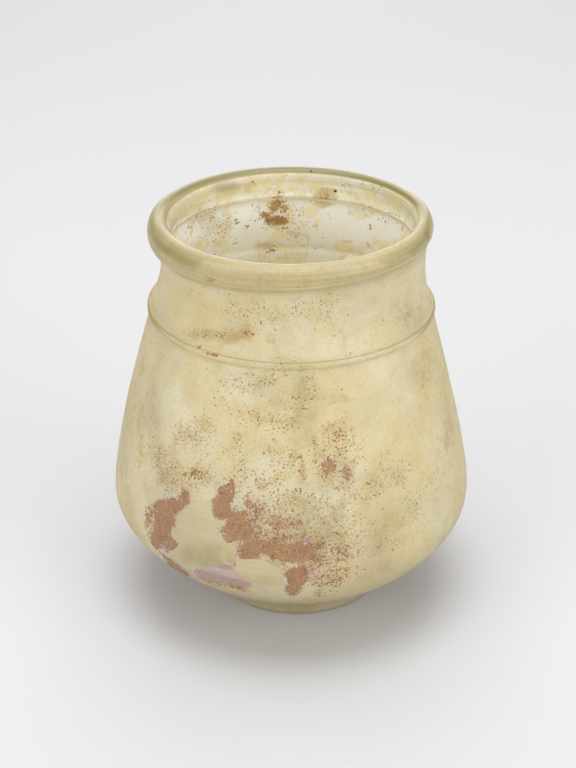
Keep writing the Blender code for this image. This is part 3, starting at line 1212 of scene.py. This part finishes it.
    def roughness(self, graph: SkinGraph, coats: dict[str, Socket]) -> Socket:
        """Matt where weathered, smoother on the rim and where the glass is bare.

        Args:
            graph: The material's nodes.
            coats: How far each coat covers the glass.

        Returns:
            The roughness.
        """
        rough = graph.ramp(graph.grain[Grain.MIDDLE], *self.skin_roughness)
        rough = graph.between(graph.thick, rough, self.rim_roughness)
        rough = graph.between(coats["bare"], rough, self.bare_roughness)
        return graph.between(graph.larger(coats["crust"], coats["soil"]), rough, self.crust_roughness)

    def clearness(self, graph: SkinGraph, coats: dict[str, Socket]) -> Socket:
        """How much light goes through: less in the thick rim and foot, and little under a coat.

        Args:
            graph: The material's nodes.
            coats: How far each coat covers the glass.

        Returns:
            The share of light that goes through.
        """
        clear = graph.between(graph.thick, self.see_through, self.thick_see_through)
        inner = graph.product(graph.inside, graph.ramp(graph.rim, 1.0, self.rim_cloud), self.inside_cloud)
        bare = graph.product(coats["bare"], self.bare_cloud)
        covered = graph.larger(coats["scale"], coats["film"], inner, bare, coats["crust"], coats["soil"])
        return graph.between(covered, clear, graph.product(clear, self.covered_share))

    def relief(self, graph: SkinGraph, coats: dict[str, Socket]) -> Socket:
        """The weathered skin's grain and the rim's drawn lines, as bump.

        Args:
            graph: The material's nodes.
            coats: How far each coat covers the glass.

        Returns:
            The bumped normal.
        """
        lines = graph.larger(graph.rim, graph.product(coats["bare"], self.bare_relief))
        height = graph.total(graph.grain[Grain.SMALL], graph.product(graph.grain[Grain.DRAWN], lines))
        return graph.node("ShaderNodeBump", {}, {
            "Height": height, "Strength": self.relief_strength, "Distance": self.relief_depth}).outputs[0]


@dataclass(frozen=True)
class PlainFinish:
    """One matt colour with a fine grain, for soil and dark specks."""

    name: str
    dark: Color
    light: Color
    grain: float = 0.0004
    roughness: float = 0.85

    def build(self) -> bpy.types.Material:
        """Makes the material.

        Returns:
            The material.
        """
        material, shader = new_material(self.name)
        graph = Graph(material.node_tree)
        grain = graph.cloud(graph.node("ShaderNodeTexCoord").outputs["Object"], self.grain)
        color = graph.blend(graph.step(grain, 0.3, 0.7), self.dark, self.light)
        graph.feed(shader, {"Base Color": color, "Roughness": self.roughness})
        return material


@dataclass(frozen=True)
class Cloud:
    """A soft noise over the wall: how wide its lumps are, and where in it a layer starts and is full."""

    size: float
    seed: int
    start: float = 0.0
    end: float = 1.0

    def at(self, points: np.ndarray) -> np.ndarray:
        """The noise itself, from 0 to 1."""
        shift = Vector((self.seed * 1.7, self.seed * 0.9, self.seed * 2.3))
        return np.array([noise.noise(Vector(point) / self.size + shift) for point in points]) * 0.5 + 0.5

    def patches(self, points: np.ndarray) -> np.ndarray:
        """The layer's patches, from 0 to 1."""
        return eased(self.at(points), self.start, self.end)


@dataclass(frozen=True)
class Burial:
    """What burial has left on the wall: as the photograph shows it, and in keeping where it doesn't reach.

    A reach is where a share starts and where it is full. The edge-shade layer it lays is painted shade, in the
    creases and where the collar's glass is seen edge-on.
    """

    section: Section
    view: Viewpoint
    facing: Reach = (-0.08, 0.08)
    mouth_heights: Reach = (0.052, 0.062)
    mouth_depths: Reach = (0.0, 0.006)
    collar_line: float = 0.0009
    collar_proud: float = 0.0007
    collar_sides: Reach = (0.0265, 0.0315)
    collar_dark: float = 0.9
    wide: Cloud = Cloud(0.016, 11, 0.3, 0.6)
    small: Cloud = Cloud(0.005, 23, 0.35, 0.7)
    crust_reach: Reach = (0.58, 1.06)
    crust_heights: Reach = (0.062, 0.050)
    crust_low: Reach = (0.040, 0.012)
    pit_clusters: Cloud = Cloud(0.0048, 83, 0.38, 0.62)
    pit_dense: Reach = (0.9, 1.4)
    pits_below_top: Reach = (0.0085, 0.0065)
    mottle: Cloud = Cloud(0.014, 71, 0.3, 0.72)
    green: Cloud = Cloud(0.012, 31, 0.45, 0.75)
    milk: Cloud = Cloud(0.010, 41, 0.45, 0.7)
    milk_below_top: float = 0.005
    tan: Cloud = Cloud(0.013, 53, 0.5, 0.8)
    tan_sides: Reach = (0.024, 0.038)
    tan_side_heights: Reach = (0.025, 0.05)
    tan_foot: Reach = (1.3, 0.8)
    tan_under: Reach = (0.0035, 0.001)
    tan_floor: Reach = (0.034, 0.014)
    soil: Cloud = Cloud(0.006, 61, 0.54, 0.78)
    soil_heights: Reach = (0.016, 0.009)

    def lay(self, wall: bpy.types.Object) -> None:
        """Writes each layer's strength to the wall's points.

        Args:
            wall: The wall.
        """
        mesh = wall.data
        points = numbers_of(mesh.vertices, "co", 3)
        toward = np.array(self.view.place) - points
        toward /= np.linalg.norm(toward, axis=1)[:, None]
        seen = eased((numbers_of(mesh.vertices, "normal", 3) * toward).sum(axis=1), *self.facing)
        outer = numbers_of(mesh.attributes["skin"].data, "value") > 0.5
        mouth = eased(points[:, 2], *self.mouth_heights) * eased(points[:, 1], *self.mouth_depths)
        shown = {Skin.OUTSIDE: seen * outer, Skin.INSIDE: seen * mouth * ~outer}
        layers = self.elsewhere(points, outer, shown[Skin.OUTSIDE] + shown[Skin.INSIDE])
        # Painted shade: the dark crease lines, and the collar's edge where its glass is seen edge-on.
        lines = numbers_of(mesh.attributes[Layer.EDGE.value].data, "value")
        layers[Layer.EDGE] = np.maximum(lines, self.collar_dark * outer * self.collar(points))
        pixels = self.view.pixels(points)
        for mark in all_marks():
            layers[mark.layer] = np.maximum(layers[mark.layer], mark.field(pixels) * shown[mark.skin])
        dense = eased(layers[Layer.PITS], *self.pit_dense)
        layers[Layer.PITS] *= dense + (1 - dense) * (0.15 + 1.3 * self.pit_clusters.patches(points))
        for layer, strength in layers.items():
            attribute = mesh.attributes.get(layer.value) or mesh.attributes.new(layer.value, "FLOAT", "POINT")
            attribute.data.foreach_set("value", strength.astype(np.float32))

    def collar(self, points: np.ndarray) -> np.ndarray:
        """How much painted shade darkens the collar's edge: most at the cup's left and right, where its glass
        is seen edge-on.

        Args:
            points: The wall's points.

        Returns:
            A share from 0 to 1 for each point.
        """
        line = np.exp(-((points[:, 2] - self.section.fold_height) / self.collar_line) ** 2)
        radii, edge = np.hypot(points[:, 0], points[:, 1]), self.section.fold_radius
        proud = eased(radii, edge - self.collar_proud, edge)
        return line * proud * eased(np.abs(points[:, 0]), *self.collar_sides)

    def elsewhere(self, points: np.ndarray, outer: np.ndarray, shown: np.ndarray) -> dict[Layer, np.ndarray]:
        """What burial has left where the photograph doesn't reach.

        Args:
            points: The wall's points.
            outer: Which points are on the outside.
            shown: How well the photograph shows each, from 0 to 1.

        Returns:
            Each layer's strength at each point.
        """
        heights, below_top = points[:, 2], self.section.height - points[:, 2]
        wide, small = self.wide.at(points), self.small.at(points)
        hidden = 1 - shown
        crusts = eased(wide * 0.7 + small * 0.5 + eased(heights, *self.crust_low) * 0.16, *self.crust_reach)
        pits = np.maximum(hidden * 0.5 * eased(small, self.small.start, self.small.end),
                          0.08 * eased(wide, self.wide.start, self.wide.end))
        mottle = eased(self.mottle.at(points) + 0.4 * small - 0.2, self.mottle.start, self.mottle.end)
        milk = np.where(outer, hidden * 0.4, 0.55) * self.milk.patches(points)
        # Tan is laid deeper at the cup's left and right as the camera sees them.
        sides = outer * eased(np.abs(points[:, 0]), *self.tan_sides) * eased(heights, *self.tan_side_heights)
        foot = outer * eased(heights / self.section.foot_height, *self.tan_foot)
        deep = np.where(outer, eased(heights, *self.tan_under), eased(heights, *self.tan_floor)) * (1 - foot)
        tan = np.maximum.reduce((hidden * 0.5 * self.tan.patches(points), 0.3 * sides, 0.4 * foot, 0.35 * deep))
        soil = hidden * ~outer * eased(heights, *self.soil_heights) * 0.75 * self.soil.patches(points)
        blank = np.zeros(len(points))
        return {
            Layer.RUST: hidden * outer * eased(heights, *self.crust_heights) * crusts,
            Layer.FILM: blank,
            Layer.BARE: blank,
            Layer.MILK: milk * (1 - eased(below_top, self.section.lip_depth, self.milk_below_top)),
            Layer.TAN: tan,
            Layer.OLIVE: hidden * 0.5 * self.green.patches(points),
            Layer.SOIL: soil,
            Layer.PITS: pits * (1 - eased(below_top, *self.pits_below_top)),
            Layer.MOTTLE: mottle,
        }


@dataclass
class Vessel:
    """The cup's wall: a section turned round the axis, with the maker's unevenness, under a weathered skin."""

    section: Section
    unevenness: Unevenness
    view: Viewpoint
    finish: GlassFinish
    sides: int = 240
    front_crowding: float = 0.4
    seed: int = 7
    weld: float = 0.00001

    def section_line(self) -> bpy.types.Object:
        """The section as a line of points, each with what the turning needs to know.

        Returns:
            The line, which the tree takes.
        """
        rows = np.array(self.section.rows)
        mesh = bpy.data.meshes.new("section")
        points = np.stack((rows[:, 0], np.zeros(len(rows)), rows[:, 1]), axis=1)
        mesh.from_pydata(points.tolist(), [(index, index + 1) for index in range(len(rows) - 1)], [])
        heights = rows[:, 1]
        crest = eased((self.section.height - heights) / self.section.rim_half_height, *self.section.rim_depths)
        foot = eased(heights / self.section.foot_height, *self.section.foot_heights)
        weight = self.section.inner_rim + (1 - self.section.inner_rim) * rows[:, 4]
        values = {
            "girth": rows[:, 2], "drop": rows[:, 3], "skin": rows[:, 4],
            "lean": self.unevenness.lean(self.section, heights),
            "sway": eased(heights, self.section.belly_height, self.section.neck_height),
            "dip": eased(heights, self.section.fold_height, self.section.height),
            "rim": crest,
            "thick": np.maximum(crest * weight, foot * self.section.foot_weight),
            "arc": np.concatenate(([0.0], np.cumsum(np.linalg.norm(np.diff(points, axis=0), axis=1)))),
            Layer.EDGE.value: self.section.edges(rows),
        }
        for name, numbers in values.items():
            mesh.attributes.new(name, "FLOAT", "POINT").data.foreach_set("value", numbers.astype(np.float32))
        line = bpy.data.objects.new("section", mesh)
        bpy.context.scene.collection.objects.link(line)
        return line

    def tree(self, material: bpy.types.Material) -> tuple[bpy.types.NodeTree, dict[str, float]]:
        """The rule that turns the section into the wall.

        Args:
            material: The finished glass.

        Returns:
            The node tree, and a value for each of its named inputs.
        """
        sizes = input_sizes(self) | input_sizes(self.unevenness)
        graph, given = new_tree("turned_wall", sizes)
        line = given["Geometry"]
        count = graph.node("GeometryNodeAttributeDomainSize", {}, {"Geometry": line}).outputs["Point Count"]
        grid = graph.node("GeometryNodeMeshGrid", {}, {
            "Vertices X": graph.math("ADD", given["Sides"], 1.0), "Vertices Y": count}).outputs["Mesh"]
        index = graph.node("GeometryNodeInputIndex").outputs[0]
        column = graph.math("FLOOR", graph.math("DIVIDE", index, count))
        row = graph.math("SUBTRACT", index, graph.product(column, count))
        turn = graph.math("DIVIDE", graph.product(column, math.tau), given["Sides"])
        crowded = graph.math("SUBTRACT", turn, graph.product(given["Front Crowding"], graph.math("SINE", turn)))
        angle = graph.math("SUBTRACT", crowded, math.pi / 2)

        def sampled(value: Socket, kind: str = "FLOAT") -> Socket:
            """A value of the section's line at this point's row."""
            inputs = {"Geometry": line, "Value": value, "Index": row}
            return graph.node("GeometryNodeSampleIndex", {"data_type": kind}, inputs).outputs[0]

        girth, drop, sway, dip, lean = (
            sampled(graph.stored(name)) for name in ("girth", "drop", "sway", "dip", "lean"))
        parts = graph.parts(sampled(graph.node("GeometryNodeInputPosition").outputs[0], "FLOAT_VECTOR"))
        thick = graph.math("COSINE", graph.math("SUBTRACT", angle, given["Thick Side"]))
        sagging = graph.math("POWER", graph.ramp(thick, 0.5, 1.0), 3.0)
        wave = graph.math("COSINE", graph.math("MULTIPLY_ADD", angle, 2.0, given["Wave Turn"]))
        second = graph.math("COSINE", graph.math("MULTIPLY_ADD", angle, 3.0, given["Second Wave Turn"]))
        wave = graph.math("MULTIPLY_ADD", second, 0.5, wave)
        radius = graph.total(parts[0], graph.product(girth, given["Extra Girth"], thick),
                             graph.product(sway, given["Out Of Round"], wave))
        far = graph.math("COSINE", graph.math("SUBTRACT", angle, given["High Side"]))
        fall = graph.product(dip, given["Rim Dip"], graph.ramp(far, 0.5, 0.0))
        rise = graph.total(parts[2], graph.product(drop, given["Extra Depth"], sagging))
        across = graph.total(graph.product(radius, graph.math("COSINE", angle)), lean)
        place = graph.vector(across, graph.product(radius, graph.math("SINE", angle)),
                             graph.math("SUBTRACT", rise, fall))
        wall = graph.shaped("GeometryNodeSetPosition", grid, Position=place)
        for name in ("skin", "rim", "thick", "arc", Layer.EDGE.value):
            wall = graph.shaped("GeometryNodeStoreNamedAttribute", wall, {"domain": "POINT"},
                                Name=name, Value=sampled(graph.stored(name)))
        wall = graph.shaped("GeometryNodeMergeByDistance", wall, Distance=given["Weld"])
        wall = graph.shaped("GeometryNodeSetPosition", wall, Offset=self.hand_marks(graph, given))
        graph.finish(graph.shaped("GeometryNodeSetShadeSmooth", wall), material)
        return graph.tree, sizes

    def hand_marks(self, graph: Graph, given: bpy.types.NodeOutputs) -> Socket:
        """Soft ripples pressed into the wall, and stretch marks drawn round the rim.

        Args:
            graph: The tree's nodes.
            given: The tree's named inputs.

        Returns:
            How far each point moves.
        """
        place = graph.node("GeometryNodeInputPosition").outputs[0]
        x, y, z = graph.parts(place)
        ripples = graph.node("ShaderNodeTexNoise", {"noise_dimensions": "4D"}, {
            "Vector": place, "W": given["Seed"], "Scale": graph.math("DIVIDE", 1.0, given["Ripple Size"]),
            "Detail": 2.0, "Roughness": 0.4}).outputs[0]
        x, y = (graph.product(part, given["Mark Stretch"]) for part in (x, y))
        stretched = graph.vector(x, y, graph.math("DIVIDE", graph.stored("arc"), given["Mark Spacing"]))
        lines = graph.cloud(stretched, 1.0)
        pressed = graph.product(graph.math("SUBTRACT", 0.0, ripples), given["Ripple"],
                                graph.step(z, 0.0, 0.006))
        drawn = graph.product(graph.math("SUBTRACT", lines, 1.0), given["Stretch Marks"],
                              graph.between(graph.stored("rim"), 0.25, 1.0), graph.step(z, 0.002, 0.006))
        normal = graph.node("GeometryNodeInputNormal").outputs[0]
        scale = {0: normal, "Scale": graph.math("ADD", pressed, drawn)}
        return graph.node("ShaderNodeVectorMath", {"operation": "SCALE"}, scale).outputs[0]

    def build(self) -> bpy.types.Object:
        """Makes the wall as a plain mesh and dresses it.

        Returns:
            The wall.
        """
        material = self.finish.build()
        line = self.section_line()
        tree, sizes = self.tree(material)
        wall = grown(line, tree, sizes, "glass_wall")
        Burial(self.section, self.view).lay(wall)
        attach(wall, BODY)
        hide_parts(CUP_NODE)
        return wall


@dataclass(frozen=True)
class SoilCrumbs:
    """The thick soil that clings inside, as crumbs scattered where the soil layer is strong.

    Each number is an input of the crumbs' tree.
    """

    finish: PlainFinish = PlainFinish("burial_soil", tint(136, 102, 54), tint(212, 178, 118), 0.0011)
    per_area: float = 2.0e7
    smallest: float = 0.00007
    largest: float = 0.00032
    roughen: float = 0.00005
    least_soil: float = 0.45
    lumps_per_metre: float = 4000.0
    seed: int = 5

    def build(self, wall: bpy.types.Object) -> bpy.types.Object:
        """Scatters the crumbs over the wall's inside and keeps them as one plain mesh.

        Args:
            wall: The finished wall, with its layers.

        Returns:
            The crumbs.
        """
        sizes = input_sizes(self)
        graph, given = new_tree("soil_crumbs", sizes)
        strong = graph.step(graph.stored(Layer.SOIL.value), given["Least Soil"], 1.0)
        density = graph.product(strong, graph.math("LESS_THAN", graph.stored("skin"), 0.5), given["Per Area"])
        points = graph.node("GeometryNodeDistributePointsOnFaces", {}, {
            "Mesh": given["Geometry"], "Density": density, "Seed": given["Seed"]}).outputs
        share = graph.node("FunctionNodeRandomValue", {"data_type": "FLOAT"}, {
            2: 0.0, 3: 1.0, "Seed": given["Seed"]}).outputs[1]
        size = graph.between(graph.math("POWER", share, 2.0), given["Smallest"], given["Largest"])
        spin = graph.node("FunctionNodeRandomValue", {"data_type": "FLOAT"}, {
            2: 0.0, 3: math.tau, "Seed": graph.math("ADD", given["Seed"], 1.0)}).outputs[1]
        turn = graph.node("FunctionNodeRotateRotation", {"rotation_space": "LOCAL"}, {
            0: points["Rotation"], 1: graph.vector(0.0, 0.0, spin)}).outputs[0]
        crumb = graph.node("GeometryNodeMeshIcoSphere", {}, {"Radius": 1.0, "Subdivisions": 1}).outputs["Mesh"]
        flattened = graph.vector(size, graph.product(size, 0.7), graph.product(size, 0.4))
        placed = graph.node("GeometryNodeInstanceOnPoints", {}, {
            "Points": points["Points"], "Instance": crumb, "Rotation": turn, "Scale": flattened}).outputs[0]
        solid = graph.shaped("GeometryNodeRealizeInstances", placed)
        place = graph.node("GeometryNodeInputPosition").outputs[0]
        lumps = graph.node("ShaderNodeTexNoise", {}, {
            "Vector": place, "Scale": given["Lumps Per Metre"], "Detail": 1.0}).outputs["Color"]
        spread = graph.node("ShaderNodeVectorMath", {"operation": "SUBTRACT"}, {
            0: lumps, 1: (0.5, 0.5, 0.5)}).outputs[0]
        shift = graph.node("ShaderNodeVectorMath", {"operation": "SCALE"}, {
            0: spread, "Scale": graph.product(given["Roughen"], 2.0)}).outputs[0]
        graph.finish(graph.shaped("GeometryNodeSetPosition", solid, Offset=shift), self.finish.build())
        source = bpy.data.objects.new("soil_crumbs", wall.data.copy())
        bpy.context.scene.collection.objects.link(source)
        piece = grown(source, graph.tree, sizes, "soil_crumbs")
        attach(piece, BODY)
        return piece


@dataclass(frozen=True)
class Speck:
    """One dark speck in the glass, seen at a pixel of the photograph."""

    pixel: Pixel
    radius: float
    stretch: float = 1.0
    tilt: float = 0.0
    sunk: float = 0.5


DARK_SPECKS = (
    # Black stone under the back rim.
    Speck((335.3, 191.0), 0.00042, 1.15),
    # Black stone on the back rim.
    Speck((311.2, 171.2), 0.00028),
    # Dark fleck at the left of the mouth.
    Speck((214.4, 254.8), 0.00018, 2.0, 10.0),
)


@dataclass(frozen=True)
class DarkSpecks:
    """The black stones that the glass holds."""

    finish: PlainFinish = PlainFinish("dark_stone", tint(40, 34, 26), tint(84, 74, 50), roughness=0.5)

    def build(self, wall: bpy.types.Object, view: Viewpoint) -> bpy.types.Object:
        """Sets each speck into the first wall that its pixel's line of sight meets.

        Args:
            wall: The finished wall.
            view: The camera that the specks' pixels belong to.

        Returns:
            All the specks, as one piece.
        """
        surface = BVHTree.FromObject(wall, bpy.context.evaluated_depsgraph_get())
        ball = bmesh.new()
        bmesh.ops.create_icosphere(ball, subdivisions=3, radius=1.0)
        corners = [vert.co.copy() for vert in ball.verts]
        faces = [[vert.index for vert in face.verts] for face in ball.faces]
        ball.free()
        points, polygons = [], []
        for speck in DARK_SPECKS:
            place, normal, _, _ = surface.ray_cast(view.place, view.ray(speck.pixel))
            turned = math.radians(speck.tilt)
            across = Vector((1.0, 0.0, 0.0)) * math.cos(turned) - view.upward * math.sin(turned)
            long_way = (across - normal * across.dot(normal)).normalized()
            axes = Matrix((long_way, normal.cross(long_way), normal)).transposed()
            middle = place - normal * speck.radius * speck.sunk
            start = len(points)
            for corner in corners:
                size = Vector((corner.x * speck.stretch, corner.y, corner.z)) * speck.radius
                points.append(middle + axes @ size)
            polygons += [[start + index for index in face] for face in faces]
        mesh = bpy.data.meshes.new("dark_specks")
        mesh.from_pydata(points, [], polygons)
        mesh.shade_smooth()
        mesh.materials.append(self.finish.build())
        piece = bpy.data.objects.new("dark_specks", mesh)
        bpy.context.scene.collection.objects.link(piece)
        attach(piece, BODY)
        return piece


def numbers_of(items: bpy.types.bpy_prop_collection, name: str, width: int = 1) -> np.ndarray:
    """Reads one value of every item of a mesh.

    Args:
        items: The mesh's points, or what one of its attributes holds.
        name: The value's name.
        width: How many numbers the value has.

    Returns:
        The numbers, in rows where each value has more than one.
    """
    values = np.zeros(len(items) * width, np.float32)
    items.foreach_get(name, values)
    return values.astype(float).reshape((-1, width) if width > 1 else -1)


def input_sizes(maker: object) -> dict[str, float]:
    """A maker's own numbers, each under the name of its input: rim_dip becomes Rim Dip."""
    return {name.replace("_", " ").title(): value for name, value in vars(maker).items()
            if isinstance(value, (int, float))}


def new_tree(name: str, sizes: dict[str, float]) -> tuple[Graph, bpy.types.NodeOutputs]:
    """Starts a geometry tree.

    Args:
        name: The tree's name.
        sizes: A value for each of its named inputs.

    Returns:
        The tree's nodes, and what it is given.
    """
    tree = bpy.data.node_groups.new(name, "GeometryNodeTree")
    tree.interface.new_socket("Geometry", in_out="INPUT", socket_type="NodeSocketGeometry")
    for label, value in sizes.items():
        kind = "NodeSocketInt" if isinstance(value, int) else "NodeSocketFloat"
        tree.interface.new_socket(label, in_out="INPUT", socket_type=kind)
    tree.interface.new_socket("Geometry", in_out="OUTPUT", socket_type="NodeSocketGeometry")
    graph = Graph(tree)
    return graph, graph.node("NodeGroupInput").outputs


def grown(source: bpy.types.Object, tree: bpy.types.NodeTree, sizes: dict[str, float],
          name: str) -> bpy.types.Object:
    """Runs a node tree on an object once and keeps the result as a plain mesh.

    Args:
        source: The object that the tree works on. It is removed.
        tree: The geometry nodes.
        sizes: A value for each named input.
        name: The finished piece's name.

    Returns:
        The finished piece, at the origin, with no modifier left on it.
    """
    modifier = source.modifiers.new(tree.name, "NODES")
    modifier.node_group = tree
    sockets = {item.name: item.identifier for item in tree.interface.items_tree if item.in_out == "INPUT"}
    for label, value in sizes.items():
        modifier[sockets[label]] = value
    depsgraph = bpy.context.evaluated_depsgraph_get()
    mesh = bpy.data.meshes.new_from_object(source.evaluated_get(depsgraph), depsgraph=depsgraph)
    bpy.data.objects.remove(source)
    worn = mesh.materials[mesh.polygons[0].material_index]
    mesh.materials.clear()
    mesh.materials.append(worn)
    mesh.polygons.foreach_set("material_index", [0] * len(mesh.polygons))
    mesh.name = name
    piece = bpy.data.objects.new(name, mesh)
    bpy.context.scene.collection.objects.link(piece)
    return piece


def main() -> None:
    """Builds every piece in order and reports it."""
    logging.basicConfig(level=logging.INFO, format="%(name)s: %(message)s")
    low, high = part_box(CUP_NODE)
    view = Viewpoint()
    view.build()
    Studio().build()
    section = Section(height=high.z, belly_radius=(high.y - low.y) / 2).build()
    vessel = Vessel(section, Unevenness(), view, GlassFinish())
    wall = vessel.build()
    pieces = [wall, SoilCrumbs().build(wall), DarkSpecks().build(wall, view)]
    for piece in pieces:
        triangles = sum(len(polygon.vertices) - 2 for polygon in piece.data.polygons)
        LOG.info("%s: %d triangles", piece.name, triangles)


if __name__ == "__main__":
    main()
